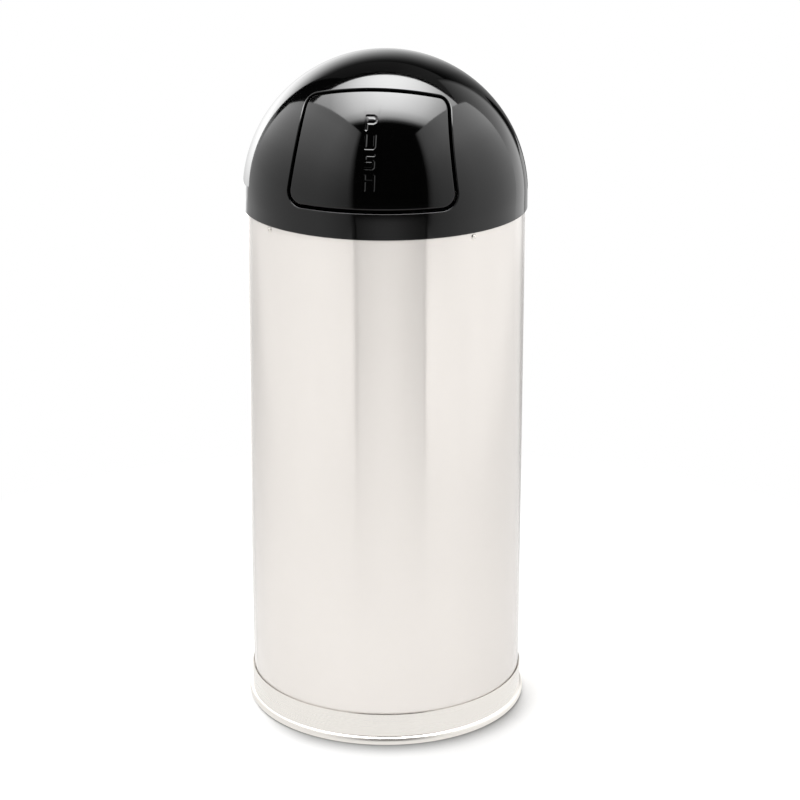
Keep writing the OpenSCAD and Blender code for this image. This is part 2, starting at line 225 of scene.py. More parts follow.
class Studio(bpy.types.PropertyGroup):
    """The floor, the lamps and the camera."""

    floor: FloatProperty(
        name="Floor", description="Width of the pale floor",
        default=18.0, min=4.0, max=40.0, unit="LENGTH")
    lens: FloatProperty(
        name="Lens", description="Focal length of the camera",
        default=0.11034, min=0.02, max=0.4, unit="LENGTH")
    tilt: FloatProperty(
        name="Tilt", description="How far the camera looks down",
        default=math.radians(18.67), min=0.0, max=1.5, subtype="ANGLE")


# ---- Materials ----


def add(tree, kind, inputs=None, **settings):
    """Adds a node, sets its settings and fills its inputs with values or with other sockets."""
    node = tree.nodes.new(kind)
    for name, value in settings.items():
        setattr(node, name, value)
    for name, value in (inputs or {}).items():
        if isinstance(value, bpy.types.NodeSocket):
            tree.links.new(value, node.inputs[name])
        else:
            node.inputs[name].default_value = value
    return node


def graded(tree, value, stops):
    """The share at a value, on a straight-line ramp through (value, share) stops."""
    low, high = stops[0][0], stops[-1][0]
    span = add(tree, "ShaderNodeMapRange", {
        "Value": value, "From Min": low, "From Max": high})
    node = add(tree, "ShaderNodeValToRGB", {"Fac": span.outputs["Result"]})
    elements = node.color_ramp.elements
    while len(elements) < len(stops):
        elements.new(1.0)
    for element, (place, share) in zip(elements, stops):
        element.position = (place - low) / (high - low)
        element.color = (share, share, share, 1.0)
    return node.outputs["Color"]


def new_material(name):
    """An empty node material of that name."""
    material = bpy.data.materials.new(name)
    material.use_nodes = True
    material.node_tree.nodes.clear()
    return material, material.node_tree


def surface(tree, inputs):
    """Ends a material in one principled surface with these inputs."""
    shader = add(tree, "ShaderNodeBsdfPrincipled", inputs)
    add(tree, "ShaderNodeOutputMaterial", {"Surface": shader.outputs["BSDF"]})


def rgba(colour, share=1.0):
    """A linear colour with its alpha, darkened to a share of itself."""
    return tuple(part * share for part in colour) + (1.0,)


def black_baked_enamel(finishes):
    """Sprayed and baked black enamel: a deep, hard gloss with a faint orange peel."""
    material, tree = new_material("black_baked_enamel")
    place = add(tree, "ShaderNodeTexCoord").outputs["Object"]
    # Orange peel about 4 mm from crest to crest and far under a hundredth deep
    peel = add(tree, "ShaderNodeTexNoise", {"Vector": place, "Scale": 240.0, "Detail": 1.0})
    skin = add(tree, "ShaderNodeBump", {
        "Height": peel.outputs["Fac"], "Strength": 0.02, "Distance": 0.0002})
    # Handling dulls the gloss in broad soft patches of 60 mm or so
    wear = add(tree, "ShaderNodeTexNoise", {"Vector": place, "Scale": 16.0, "Detail": 3.0})
    gloss = add(tree, "ShaderNodeMapRange", {
        "Value": wear.outputs["Fac"], "From Min": 0.3, "From Max": 0.7,
        "To Min": 0.045, "To Max": 0.075})
    tone = add(tree, "ShaderNodeMix", {
        0: wear.outputs["Fac"], 6: rgba(finishes.enamel, 0.8), 7: rgba(finishes.enamel, 1.2)},
        data_type="RGBA")
    surface(tree, {
        "Base Color": tone.outputs[2], "Roughness": gloss.outputs["Result"], "IOR": 1.45,
        "Normal": skin.outputs["Normal"]})
    return material


def brushed_stainless_sheet(finishes):
    """Stainless sheet brushed round the body: light smears upright and stays crisp across."""
    material, tree = new_material("brushed_stainless_sheet")
    place = add(tree, "ShaderNodeTexCoord").outputs["Object"]
    # The belt leaves lines 0.1 mm apart; they are drawn 1.5 mm apart so as to show
    grain_place = add(tree, "ShaderNodeMapping", {"Vector": place, "Scale": (4.0, 4.0, 650.0)})
    grain = add(tree, "ShaderNodeTexNoise", {
        "Vector": grain_place.outputs["Vector"], "Scale": 1.0, "Detail": 3.0,
        "Roughness": 0.65})
    lines = add(tree, "ShaderNodeBump", {
        "Height": grain.outputs["Fac"], "Strength": 0.06, "Distance": 0.0003})
    # Rolled sheet changes tone by a few hundredths in upright bands and clouds
    cloud_place = add(tree, "ShaderNodeMapping", {"Vector": place, "Scale": (9.0, 9.0, 3.0)})
    cloud = add(tree, "ShaderNodeTexNoise", {
        "Vector": cloud_place.outputs["Vector"], "Scale": 1.0, "Detail": 2.0})
    tone = add(tree, "ShaderNodeMix", {
        0: cloud.outputs["Fac"], 6: rgba(finishes.stainless, 0.97),
        7: rgba(finishes.stainless, 1.02)}, data_type="RGBA")
    satin = add(tree, "ShaderNodeMapRange", {
        "Value": grain.outputs["Fac"], "From Min": 0.3, "From Max": 0.7,
        "To Min": 0.13, "To Max": 0.17})
    round_axis = add(tree, "ShaderNodeTangent", direction_type="RADIAL", axis="Z")
    # Half metallic, because satin brushing scatters about half of the light evenly
    surface(tree, {
        "Base Color": tone.outputs[2], "Metallic": 0.5,
        "Roughness": satin.outputs["Result"], "Anisotropic": 1.0,
        "Anisotropic Rotation": 0.25, "Tangent": round_axis.outputs["Tangent"],
        "Normal": lines.outputs["Normal"]})
    return material


def buffed_stainless(finishes):
    """Buffed stainless: nearly a mirror, hazed by fine buffing lines round the band."""
    material, tree = new_material("buffed_stainless")
    place = add(tree, "ShaderNodeTexCoord").outputs["Object"]
    haze_place = add(tree, "ShaderNodeMapping", {"Vector": place, "Scale": (6.0, 6.0, 300.0)})
    haze = add(tree, "ShaderNodeTexNoise", {
        "Vector": haze_place.outputs["Vector"], "Scale": 1.0, "Detail": 3.0})
    blur = add(tree, "ShaderNodeMapRange", {
        "Value": haze.outputs["Fac"], "From Min": 0.3, "From Max": 0.7,
        "To Min": 0.22, "To Max": 0.3})
    # The bead is duller than the band above it, from rolling and from the floor
    axes = add(tree, "ShaderNodeSeparateXYZ", {"Vector": place})
    dull = add(tree, "ShaderNodeMapRange", {
        "Value": axes.outputs["Z"], "From Min": 0.008, "From Max": 0.0125,
        "To Min": 0.16, "To Max": 0.0})
    rough = add(tree, "ShaderNodeMath", {
        0: blur.outputs["Result"], 1: dull.outputs["Result"]}, operation="ADD")
    lines = add(tree, "ShaderNodeBump", {
        "Height": haze.outputs["Fac"], "Strength": 0.03, "Distance": 0.0002})
    # Small dents and buffing marks, 25 mm or so across
    marks = add(tree, "ShaderNodeTexNoise", {"Vector": place, "Scale": 40.0, "Detail": 2.0})
    tone = add(tree, "ShaderNodeMix", {
        0: marks.outputs["Fac"], 6: rgba(finishes.polished, 0.96),
        7: rgba(finishes.polished, 1.02)}, data_type="RGBA")
    surface(tree, {
        "Base Color": tone.outputs[2], "Metallic": 1.0, "Roughness": rough.outputs["Value"],
        "Normal": lines.outputs["Normal"]})
    return material


def galvanised_sheet(finishes):
    """Hot-dip galvanised sheet: dull zinc crystals 8 to 15 mm across, each its own grey."""
    material, tree = new_material("galvanised_sheet")
    place = add(tree, "ShaderNodeTexCoord").outputs["Object"]
    wander = add(tree, "ShaderNodeTexNoise", {"Vector": place, "Scale": 60.0, "Detail": 2.0})
    bent = add(tree, "ShaderNodeMix", {
        0: 0.012, 4: place, 5: wander.outputs["Color"]}, data_type="VECTOR")
    spangle = add(tree, "ShaderNodeTexVoronoi", {"Vector": bent.outputs[1], "Scale": 85.0})
    facet = add(tree, "ShaderNodeSeparateColor", {"Color": spangle.outputs["Color"]})
    tone = add(tree, "ShaderNodeMix", {
        0: facet.outputs["Red"], 6: rgba(finishes.galvanised, 0.72),
        7: rgba(finishes.galvanised, 1.05)}, data_type="RGBA")
    dull = add(tree, "ShaderNodeMapRange", {
        "Value": facet.outputs["Green"], "To Min": 0.36, "To Max": 0.6})
    grit = add(tree, "ShaderNodeTexNoise", {"Vector": place, "Scale": 900.0, "Detail": 2.0})
    skin = add(tree, "ShaderNodeBump", {
        "Height": grit.outputs["Fac"], "Strength": 0.08, "Distance": 0.0002})
    surface(tree, {
        "Base Color": tone.outputs[2], "Metallic": 1.0, "Roughness": dull.outputs["Result"],
        "Normal": skin.outputs["Normal"]})
    return material


def zinc_plated_steel(finishes):
    """Bright zinc plate on pressed steel: a cool shine, a little clouded."""
    material, tree = new_material("zinc_plated_steel")
    place = add(tree, "ShaderNodeTexCoord").outputs["Object"]
    cloud = add(tree, "ShaderNodeTexNoise", {"Vector": place, "Scale": 90.0, "Detail": 4.0})
    tone = add(tree, "ShaderNodeMix", {
        0: cloud.outputs["Fac"], 6: rgba(finishes.zinc, 0.82), 7: rgba(finishes.zinc, 1.08)},
        data_type="RGBA")
    blur = add(tree, "ShaderNodeMapRange", {
        "Value": cloud.outputs["Fac"], "From Min": 0.3, "From Max": 0.7,
        "To Min": 0.24, "To Max": 0.4})
    surface(tree, {
        "Base Color": tone.outputs[2], "Metallic": 1.0, "Roughness": blur.outputs["Result"]})
    return material


def spring_steel_wire(finishes):
    """Drawn spring wire: grey, lightly oiled, with die lines along it."""
    material, tree = new_material("spring_steel_wire")
    place = add(tree, "ShaderNodeTexCoord").outputs["Object"]
    film = add(tree, "ShaderNodeTexNoise", {"Vector": place, "Scale": 260.0, "Detail": 3.0})
    tone = add(tree, "ShaderNodeMix", {
        0: film.outputs["Fac"], 6: rgba(finishes.spring, 0.7), 7: rgba(finishes.spring, 1.1)},
        data_type="RGBA")
    blur = add(tree, "ShaderNodeMapRange", {
        "Value": film.outputs["Fac"], "To Min": 0.22, "To Max": 0.38})
    surface(tree, {
        "Base Color": tone.outputs[2], "Metallic": 1.0, "Roughness": blur.outputs["Result"]})
    return material


def moulded_rubber(finishes):
    """Moulded black rubber: matt, with the mould's fine grit and a grey bloom."""
    material, tree = new_material("moulded_rubber")
    place = add(tree, "ShaderNodeTexCoord").outputs["Object"]
    grit = add(tree, "ShaderNodeTexNoise", {"Vector": place, "Scale": 1400.0, "Detail": 2.0})
    skin = add(tree, "ShaderNodeBump", {
        "Height": grit.outputs["Fac"], "Strength": 0.2, "Distance": 0.0002})
    bloom = add(tree, "ShaderNodeTexNoise", {"Vector": place, "Scale": 200.0, "Detail": 3.0})
    tone = add(tree, "ShaderNodeMix", {
        0: bloom.outputs["Fac"], 6: rgba(finishes.rubber, 0.8), 7: rgba(finishes.rubber, 1.5)},
        data_type="RGBA")
    surface(tree, {
        "Base Color": tone.outputs[2], "Roughness": 0.72, "Normal": skin.outputs["Normal"]})
    return material


# No finish has the name of a slot, because the CAD nodes bring materials of those names
MAKERS = (black_baked_enamel, brushed_stainless_sheet, buffed_stainless, galvanised_sheet,
          zinc_plated_steel, spring_steel_wire, moulded_rubber)


def finish(name):
    """The finish of that name, made the first time it is asked for."""
    found = bpy.data.materials.get(name)
    if found:
        return found
    maker = {make.__name__: make for make in MAKERS}[name]
    return maker(bpy.context.scene.receptacle_finishes)


# ---- Modelling helpers ----


def select(*pieces):
    """Selects these pieces and nothing else, and makes the first of them the active one."""
    bpy.ops.object.select_all(action="DESELECT")
    for piece in pieces:
        piece.select_set(True)
    if pieces:
        bpy.context.view_layer.objects.active = pieces[0]


def start_ring(name, points):
    """Starts a piece as a circle whose vertices are put through the given points."""
    select()
    bpy.ops.mesh.primitive_circle_add(vertices=len(points), radius=0.1)
    piece = bpy.context.object
    piece.name = name
    piece.data.name = name
    for vertex, point in zip(piece.data.vertices, points):
        vertex.co = point
    return piece


def edit_all():
    """Opens the active piece in edit mode with all of it selected."""
    bpy.ops.object.mode_set(mode="EDIT")
    bpy.ops.mesh.select_all(action="SELECT")


def close_up():
    """Merges doubles, drops loose edges and turns the faces outwards, then leaves edit mode."""
    bpy.ops.mesh.select_all(action="SELECT")
    bpy.ops.mesh.remove_doubles(threshold=WELD)
    bpy.ops.mesh.delete_loose()
    bpy.ops.mesh.select_all(action="SELECT")
    bpy.ops.mesh.normals_make_consistent(inside=False)
    bpy.ops.object.mode_set(mode="OBJECT")


def turned(name, section, steps):
    """Spins a closed section of (radius, height) points once round the upright axis."""
    piece = start_ring(name, [(radius, 0.0, height) for radius, height in section])
    edit_all()
    bpy.ops.mesh.spin(steps=steps, angle=math.tau, center=(0, 0, 0), axis=(0, 0, 1))
    close_up()
    return piece


def lofted(name, rows):
    """A skin extruded row by row from a closed ring; every row has a point for each column."""
    piece = start_ring(name, rows[0])
    column = piece.data.attributes.new("column", "INT", "POINT")
    for index, item in enumerate(column.data):
        item.value = index
    edit_all()
    for row in rows[1:]:
        bpy.ops.mesh.extrude_edges_indiv()
        mesh = bmesh.from_edit_mesh(piece.data)
        columns = mesh.verts.layers.int["column"]
        for vertex in mesh.verts:
            if vertex.select:
                vertex.co = row[vertex[columns]]
        bmesh.update_edit_mesh(piece.data)
    close_up()
    piece.data.attributes.remove(piece.data.attributes["column"])
    return piece


def thicken(piece, sheet):
    """Gives a skin its sheet thickness towards the inside."""
    modifier = piece.modifiers.new("sheet", "SOLIDIFY")
    modifier.thickness = sheet
    modifier.offset = -1.0
    modifier.use_even_offset = True
    bpy.ops.object.modifier_apply(modifier="sheet")


def smooth(piece, degrees=35.0):
    """Shades a piece smooth up to an angle."""
    select(piece)
    bpy.ops.object.shade_smooth_by_angle(angle=math.radians(degrees))


def coat(piece, material):
    """Gives a piece its finish and its slot."""
    piece.data.materials.clear()
    piece.data.materials.append(finish(material))


def dress(piece, body, slot, material, *nodes):
    """Gives a piece its finish in a slot, the body it moves with and the nodes it stands for; the
    slot argument is not used.
    """
    coat(piece, material)
    if nodes:
        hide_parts(*nodes)
    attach(piece, body)


def swept(name, paths, radius, sides):
    """Round wires along open paths, as one mesh."""
    curve = bpy.data.curves.new(name, "CURVE")
    curve.dimensions = "3D"
    curve.bevel_depth = radius
    curve.bevel_resolution = sides
    curve.use_fill_caps = True
    for path in paths:
        spline = curve.splines.new("POLY")
        spline.points.add(len(path) - 1)
        for point, place in zip(spline.points, path):
            point.co = (*place, 1.0)
    wire = bpy.data.objects.new(name, curve)
    bpy.context.collection.objects.link(wire)
    select(wire)
    bpy.ops.object.convert(target="MESH")
    piece = bpy.context.object
    piece.name = name
    edit_all()
    close_up()
    return piece


def arc(centre, radius, start, end, steps):
    """Points of an arc in a plane, from one angle to another in degrees."""
    points = []
    for step in range(steps + 1):
        angle = math.radians(start + (end - start) * step / steps)
        points.append((centre[0] + radius * math.cos(angle),
                       centre[1] + radius * math.sin(angle)))
    return points


def run(start, end, steps):
    """Points between two ends of a straight run, without the ends."""
    return [tuple(a + (b - a) * step / steps for a, b in zip(start, end))
            for step in range(1, steps)]


# ---- The door's outline on the dome, and the word on it ----


# Strokes of the word in millimetres: across the door, and height above the dome's equator
WORD = (
    # P
    ((-8.0, 117.6), (-8.0, 131.5), (0.7, 131.5), (3.1, 130.2), (3.7, 128.2),
     (3.1, 126.3), (0.7, 125.1), (-8.0, 125.1)),
    # U
    ((-7.9, 110.4), (-7.9, 96.5), (2.4, 96.5), (3.9, 98.0), (3.9, 110.4)),
    # S
    ((3.9, 88.6), (-5.5, 88.6), (-7.1, 87.2), (-7.1, 83.3), (-5.5, 81.9), (2.1, 81.9),
     (3.7, 80.3), (3.7, 74.5), (2.1, 73.0), (-7.1, 73.0)),
    # H
    ((-7.2, 64.2), (-7.2, 47.2)),
    ((4.6, 64.2), (4.6, 47.2)),
    ((-7.2, 57.8), (4.6, 57.8)),
)
# Window in the door that the pressed word fills: its middle and half its width and height
WORD_WINDOW = (-0.0020, 0.0888, 0.0092, 0.0452)


def gap_line(sizes):
    """The gap's centre line in the upright plane, anticlockwise from the middle of its foot."""
    lean = math.degrees(sizes.lean)
    cos_lean, sin_lean = math.cos(sizes.lean), math.sin(sizes.lean)
    middle = (sizes.low + sizes.high) / 2
    side = sizes.half_width * cos_lean + middle * sin_lean
    low_z = sizes.low + sizes.low_corner
    low = ((side - sizes.low_corner - low_z * sin_lean) / cos_lean, low_z)
    crown_z = sizes.high - sizes.crown_radius
    reach = sizes.crown_radius - sizes.top_corner
    turn = lean + math.degrees(math.acos((side - sizes.top_corner - crown_z * sin_lean) / reach))
    top = (reach * math.cos(math.radians(turn)),
           crown_z + reach * math.sin(math.radians(turn)))
    low_arc = arc(low, sizes.low_corner, -90.0, lean, 16)
    top_arc = arc(top, sizes.top_corner, lean, turn, 14)
    foot = run((0.0, sizes.low), low_arc[0], 36)
    crown = arc((0.0, crown_z), sizes.crown_radius, turn, 90.0, 28)[1:-1]
    right = foot + low_arc + run(low_arc[-1], top_arc[0], 44) + top_arc + crown
    left = [(-x, z) for x, z in reversed(right)]
    return [(0.0, sizes.low)] + right + [(0.0, sizes.high)] + left


def radius_of(radius, index):
    """A radius that is one number for all columns or a list with one for each."""
    return radius[index] if isinstance(radius, list) else radius


class Outline:
    """Columns round the door: places on the unit sphere and directions across the gap."""

    def __init__(self, dome, door):
        self.dome = dome
        radius = dome.radius
        self.points = []
        for x, z in gap_line(door):
            y = -math.sqrt(radius * radius - x * x - z * z)
            self.points.append(Vector((x, y, z)).normalized())
        self.across = []
        count = len(self.points)
        for index, point in enumerate(self.points):
            along = self.points[(index + 1) % count] - self.points[index - 1]
            self.across.append(along.cross(point).normalized())
        # The rows fan out from the middle of the opening, this far above the equator
        rise = math.radians(28.0)
        self.middle = Vector((0.0, -math.cos(rise), math.sin(rise)))

    def row(self, offset, radius):
        """Points at a distance from the gap's centre line along the sphere, at a radius."""
        turn = offset / self.dome.radius
        centre = Vector((0.0, 0.0, EQUATOR))
        return [centre + radius_of(radius, index) * (math.cos(turn) * point
                                                     + math.sin(turn) * across)
                for index, (point, across) in enumerate(zip(self.points, self.across))]

    def inward(self, offset, share, radius):
        """Points part of the way from an offset row to the window that the word fills."""
        middle = Vector((WORD_WINDOW[0], 0.0, WORD_WINDOW[1]))
        points = []
        for start in self.row(offset, radius):
            away = start - Vector((0.0, 0.0, EQUATOR)) - middle
            reach = min(WORD_WINDOW[2] / max(abs(away.x), 1e-6),
                        WORD_WINDOW[3] / max(abs(away.z), 1e-6))
            away *= 1.0 + (reach - 1.0) * share
            x, z = middle.x + away.x, middle.z + away.z
            y = -math.sqrt(radius * radius - x * x - z * z)
            points.append(Vector((x, y, z + EQUATOR)))
        return points

    def outward(self, offset, share, radius):
        """Points part of the way from an offset row to the equator."""
        turn = offset / self.dome.radius
        points = []
        for point, across in zip(self.points, self.across):
            start = math.cos(turn) * point + math.sin(turn) * across
            first = self.middle.angle(start)
            away = (start - self.middle * self.middle.dot(start)).normalized()
            last = math.atan2(self.middle.z, -away.z)
            angle = first + (last - first) * share
            place = math.cos(angle) * self.middle + math.sin(angle) * away
            points.append(Vector((0.0, 0.0, EQUATOR)) + radius * place)
        return points


# ---- Pieces ----


class RECEPTACLE_OT_dome(bpy.types.Operator):
    """Dome: one spun sheet with a lip rolled in round the opening and a hem folded at the foot"""

    bl_idname = "receptacle.dome"
    bl_label = "Dome"

    def execute(self, context):
        dome = context.scene.receptacle_dome
        outline = Outline(dome, context.scene.receptacle_door)
        edge = context.scene.receptacle_door.gap / 2
        roll = dome.lip_roll
        rows = [outline.row(edge, dome.radius - dome.lip_depth),
                outline.row(edge, dome.radius - (dome.lip_depth + roll) / 2)]
        rows += [outline.row(offset, radius) for offset, radius
                 in arc((edge + roll, dome.radius - roll), roll, 180.0, 90.0, 6)]
        rows += [outline.row(edge + roll + 0.0004, dome.radius)]
        start = edge + roll + 0.0012
        rows += [outline.outward(start, (step / 44) ** 1.3, dome.radius)
                 for step in range(45)]
        # Straight skirt, the fold at its foot and the hem inside
        fold = 0.0012
        skirt = [(dome.radius, EQUATOR - 0.0006), (dome.radius, EQUATOR - 0.006),
                 (dome.radius, DOME_FOOT + fold + 0.004), (dome.radius, DOME_FOOT + fold + 0.0006)]
        skirt += arc((dome.radius - fold, DOME_FOOT + fold), fold, 0.0, -180.0, 10)
        skirt += [(dome.radius - 2 * fold, DOME_FOOT + dome.hem)]
        equator = rows[-1]
        for radius, height in skirt:
            rows.append([Vector((point.x, point.y, 0.0)).normalized() * radius
                         + Vector((0.0, 0.0, height)) for point in equator])
        skin = lofted("dome_skin", rows)
        thicken(skin, dome.sheet)
        smooth(skin)
        dress(skin, "dome", "black_enamel", "black_baked_enamel", "dome_shell")
        return {"FINISHED"}


class RECEPTACLE_OT_door(bpy.types.Operator):
    """Door: a pressed panel on the dome's curve with a rolled edge and a flange turned in"""

    bl_idname = "receptacle.door"
    bl_label = "Door"

    def execute(self, context):
        door = context.scene.receptacle_door
        outline = Outline(context.scene.receptacle_dome, door)
        face = context.scene.receptacle_dome.radius - door.set_back
        edge = -door.gap / 2
        roll = door.edge_roll
        # The flange runs out towards the top, where the hinge ears sit
        depths = []
        for point in outline.points:
            share = min(max((point.z * face - 0.118) / 0.014, 0.0), 1.0)
            depths.append(door.flange + (roll + 0.0004 - door.flange) * share)
        rows = [outline.row(edge, [face - depth for depth in depths]),
                outline.row(edge, [face - (depth + roll) / 2 for depth in depths])]
        rows += [outline.row(offset, radius) for offset, radius
                 in arc((edge - roll, face - roll), roll, 0.0, 90.0, 8)]
        rows += [outline.row(edge - roll - 0.0005, face)]
        start = edge - roll - 0.0015
        rows += [outline.inward(start, (step / 26) ** 1.2, face) for step in range(27)]
        skin = lofted("door_skin", rows)
        thicken(skin, context.scene.receptacle_dome.sheet)
        smooth(skin)
        dress(skin, "door", "black_enamel", "black_baked_enamel", "door_panel")
        return {"FINISHED"}


def stroke_distance(x, z):
    """Distance in millimetres from a place on the door to the nearest stroke of the word."""
    nearest = math.inf
    for stroke in WORD:
        for (x1, z1), (x2, z2) in zip(stroke, stroke[1:]):
            along = ((x - x1) * (x2 - x1) + (z - z1) * (z2 - z1)) / (
                (x2 - x1) ** 2 + (z2 - z1) ** 2)
            along = min(max(along, 0.0), 1.0)
            reach = math.hypot(x - x1 - along * (x2 - x1), z - z1 - along * (z2 - z1))
            nearest = min(nearest, reach)
    return nearest


class RECEPTACLE_OT_word(bpy.types.Operator):
    """Word: the plain instruction to push, pressed into the door in shallow strokes"""

    bl_idname = "receptacle.word"
    bl_label = "Word"

    def execute(self, context):
        door = context.scene.receptacle_door
        face = context.scene.receptacle_dome.radius - door.set_back
        wide, wall = door.stroke * 1000, door.stroke_wall * 1000
        # The patch runs on a little behind the edge of its window, and lies a hair below the skin
        overlap, sunk = 0.0004, 0.00002
        select()
        bpy.ops.mesh.primitive_grid_add(x_subdivisions=46, y_subdivisions=218, size=2.0)
        word = bpy.context.object
        word.name = "push_lettering"
        middle_x, middle_z, half_x, half_z = WORD_WINDOW
        for vertex in word.data.vertices:
            x = middle_x + vertex.co.x * (half_x + overlap)
            z = middle_z + vertex.co.y * (half_z + overlap)
            reach = (wide - stroke_distance(x * 1000, z * 1000)) / wall
            pressed = 0.5 - 0.5 * math.cos(math.pi * min(max(reach, 0.0), 1.0))
            place = Vector((x, -math.sqrt(face * face - x * x - z * z), z)).normalized()
            radius = face - sunk - door.relief * pressed
            vertex.co = place * radius + Vector((0.0, 0.0, EQUATOR))
        edit_all()
        bpy.ops.mesh.normals_make_consistent(inside=False)
        bpy.ops.object.mode_set(mode="OBJECT")
        if word.data.polygons[0].normal.y > 0.0:
            edit_all()
            bpy.ops.mesh.flip_normals()
            bpy.ops.object.mode_set(mode="OBJECT")
        thicken(word, 0.0008)
        smooth(word, 60.0)
        dress(word, "door", "black_enamel", "black_baked_enamel")
        return {"FINISHED"}


def bumper_axis(side):
    """Direction from the dome's centre through a bumper, read from its node's box."""
    low, high = (Vector(corner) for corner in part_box("door_bumper_right"))
    middle = (low + high) / 2
    return Vector((side * middle.x, middle.y, middle.z - EQUATOR)).normalized()


class RECEPTACLE_OT_bumpers(bpy.types.Operator):
    """Bumpers: a domed rubber button on each stop, where the door meets the dome"""

    bl_idname = "receptacle.bumpers"
    bl_label = "Bumpers"

    def execute(self, context):
        section = [(0.0, 0.1841), (0.0050, 0.1841), (0.0050, 0.1849), (0.0044, 0.1853),
                   (0.0042, 0.1872)]
        section += arc((0.0024, 0.1872), 0.0018, 0.0, 90.0, 6)[1:] + [(0.0, 0.1890)]
        for side, name in ((1, "right"), (-1, "left")):
            bumper = turned(f"bumper_{name}", section, 40)
            out = Vector((0, 0, 1)).rotation_difference(bumper_axis(side)).to_matrix().to_4x4()
            bumper.data.transform(Matrix.Translation((0, 0, EQUATOR)) @ out)
            smooth(bumper)
            dress(bumper, "door", "bumper_rubber", "moulded_rubber", f"door_bumper_{name}")
        return {"FINISHED"}


# Places along the rod where a spring's outer and inner legs leave its coil
LEG_OUT, LEG_IN = 0.060, 0.046
# Depth and height of the tips: the outer leg's on the bracket, the inner leg's on the ear
TIP_OUT, TIP_IN = (-0.074381, 0.886264), (-0.131487, 0.850448)


class RECEPTACLE_OT_springs(bpy.types.Operator):
    """Springs: two torsion springs wound round the rod that close the door"""

    bl_idname = "receptacle.springs"
    bl_label = "Springs"

    def execute(self, context):
        turns, coil, wire = 7, 0.0046, 0.0008
        # Directions in which the legs leave the coil, in degrees round the rod
        first, last = 150.0, 110.0 + 360.0 * (turns - 1)
        steps = 28 * turns
        for side, name in ((1, "right"), (-1, "left")):
            path = [Vector((side * LEG_OUT, *TIP_OUT))]
            for step in range(steps + 1):
                share = step / steps
                angle = math.radians(first + (last - first) * share)
                path.append(Vector((side * (LEG_OUT + (LEG_IN - LEG_OUT) * share),
                                    ROD.y + coil * math.cos(angle),
                                    ROD.z + coil * math.sin(angle))))
            path.append(Vector((side * LEG_IN, *TIP_IN)))
            spring = swept(f"spring_{name}", [path], wire, 2)
            smooth(spring, 50.0)
            coat(spring, "spring_steel_wire")
            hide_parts(f"torsion_spring_{name}")
            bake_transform(spring)
        return {"FINISHED"}


class RECEPTACLE_OT_body(bpy.types.Operator):
    """Body: a rolled stainless sheet closed by a lock seam up the back"""

    bl_idname = "receptacle.body"
    bl_label = "Body"

    def execute(self, context):
        body = context.scene.receptacle_body
        out_r, in_r = body.radius, body.radius - body.sheet
        # The seam shows between the foot band and the dome's skirt
        seam_low, seam_high = body.band_height + 0.001, DOME_FOOT - 0.002
        seam_half = 0.0062
        heights = [BODY_FOOT, seam_low, 0.2, 0.4, 0.6, seam_high, BODY_RIM]
        section = [(out_r, height) for height in heights]
        section += [(in_r, height) for height in reversed(heights)]
        wall = turned("body_wall", section, body.around)
        bpy.ops.object.mode_set(mode="EDIT")
        bpy.ops.mesh.select_all(action="DESELECT")
        bpy.ops.mesh.select_mode(type="FACE")
        mesh = bmesh.from_edit_mesh(wall.data)
        for face in mesh.faces:
            place = face.calc_center_median()
            behind = place.y > out_r - 0.0005 and abs(place.x) < seam_half
            if behind and face.normal.y > 0.9 and seam_low < place.z < seam_high:
                face.select = True
        bmesh.update_edit_mesh(wall.data)
        bpy.ops.mesh.extrude_region_move(TRANSFORM_OT_translate={"value": (0, body.seam, 0)})
        bpy.ops.object.mode_set(mode="OBJECT")
        wall.data.transform(Matrix.Rotation(BODY_TURN, 4, "Z"))
        bevel = wall.modifiers.new("edges", "BEVEL")
        bevel.width = 0.0002
        bevel.segments = 2
        bevel.limit_method = "ANGLE"
        bevel.angle_limit = math.radians(40.0)
        bpy.ops.object.modifier_apply(modifier="edges")
        smooth(wall)
        dress(wall, "receptacle", "brushed_stainless", "brushed_stainless_sheet", "body_shell")
        return {"FINISHED"}


class RECEPTACLE_OT_foot(bpy.types.Operator):
    """Foot: a polished band round the body, rolled into the bead that meets the floor"""

    bl_idname = "receptacle.foot"
    bl_label = "Foot band"

    def execute(self, context):
        body = context.scene.receptacle_body
        in_r = body.radius + 0.0001
        out_r = in_r + body.band
        wall = 0.0012
        ring_r, ring_z = body.radius + 0.0004, body.bead - 0.0005
        flat = math.degrees(math.asin(ring_z / body.bead))
        high = body.band_height
        # The band's upper edge is thin and stands off the body
        section = [(in_r, high - 0.006), (out_r - 0.0009, high - 0.006),
                   (out_r - 0.0009, high - 0.0004)]
        section += [(out_r - back, high - drop) for back, drop in (
            (0.0006, 0.0), (0.0004, 0.0), (0.0002, 0.0004), (0.0001, 0.0009), (0.0, 0.0018))]
        # A small hollow leads into the round bead
        section += [(out_r, 0.03), (out_r, 0.0128), (out_r + 0.0001, 0.0119),
                    (out_r + 0.0005, 0.0112)]
        section += arc((ring_r, ring_z), body.bead, 66.0, -flat, 28)
        section += arc((ring_r, ring_z), body.bead, -180.0 + flat, -180.0, 10)
        section += arc((ring_r, ring_z), body.bead - wall, -180.0, 0.0, 16)
        section += arc((ring_r, ring_z), body.bead - wall, 0.0, 94.0, 8)[1:]
        section += [(in_r, 0.012), (in_r, 0.03)]
        band = turned("foot_band", section, body.around)
        smooth(band, 40.0)
        dress(band, "receptacle", "polished_stainless", "buffed_stainless", "foot_ring")
        return {"FINISHED"}


